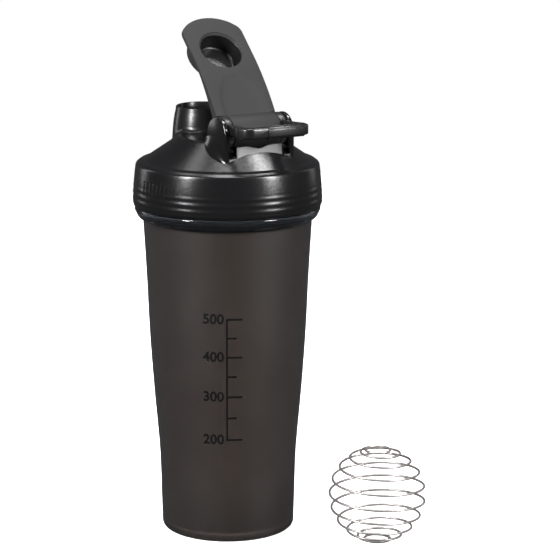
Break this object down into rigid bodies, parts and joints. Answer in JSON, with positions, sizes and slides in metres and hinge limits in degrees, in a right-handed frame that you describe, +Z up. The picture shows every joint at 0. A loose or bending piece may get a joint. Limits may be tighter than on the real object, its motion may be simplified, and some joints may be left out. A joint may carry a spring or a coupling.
{
  "type": "protein shaker bottle",
  "caption": "Tapered smoky shaker cup with a screw lid, round drinking spout, hinged flip cap, carry loop and a loose wire whisk ball.",
  "frame": {"origin": "middle of the cup's flat underside, on the surface that the bottle and the whisk ball stand on", "axes": "+Z up along the bottle's axis, +Y towards the drinking spout, -Y towards the hinge and the carry loop, +X along the hinge's axis"},
  "size_m": [0.1276, 0.1408, 0.2702],
  "materials": {
    "cup_frosted": "smoky translucent, frosted outside, with a polished band under the lid",
    "lid_black": "black, fine satin grain on the collar and dome, polished spout and hinge ears",
    "cap_grey": "matt dark grey",
    "loop_black": "black satin",
    "wire_steel": "bright stainless wire"
  },
  "bodies": {
    "cup": {"cup": "cup_frosted"},
    "lid": {"lid": "lid_black"},
    "flip_cap": {"flip_cap": "cap_grey"},
    "carry_loop": {"carry_loop": "loop_black"},
    "whisk_ball": {"whisk_ball": "wire_steel"}
  },
  "joints": [
    {"name": "lid_lift", "type": "slide", "parent": "cup", "child": "lid", "axis": [0, 0, 1], "range_m": [0, 0.06]},
    {"name": "flip_cap_hinge", "type": "hinge", "parent": "lid", "child": "flip_cap", "pos_m": [0, -0.0224, 0.2159], "axis": [1, 0, 0], "range_deg": [-41.3, 35]},
    {"name": "carry_loop_hinge", "type": "hinge", "parent": "lid", "child": "carry_loop", "pos_m": [0, -0.0224, 0.2159], "axis": [1, 0, 0], "range_deg": [-33, 38]},
    {"name": "whisk_ball_lift", "type": "slide", "parent": "cup", "child": "whisk_ball", "axis": [0, 0, 1], "range_m": [0, 0.25]}
  ]
}
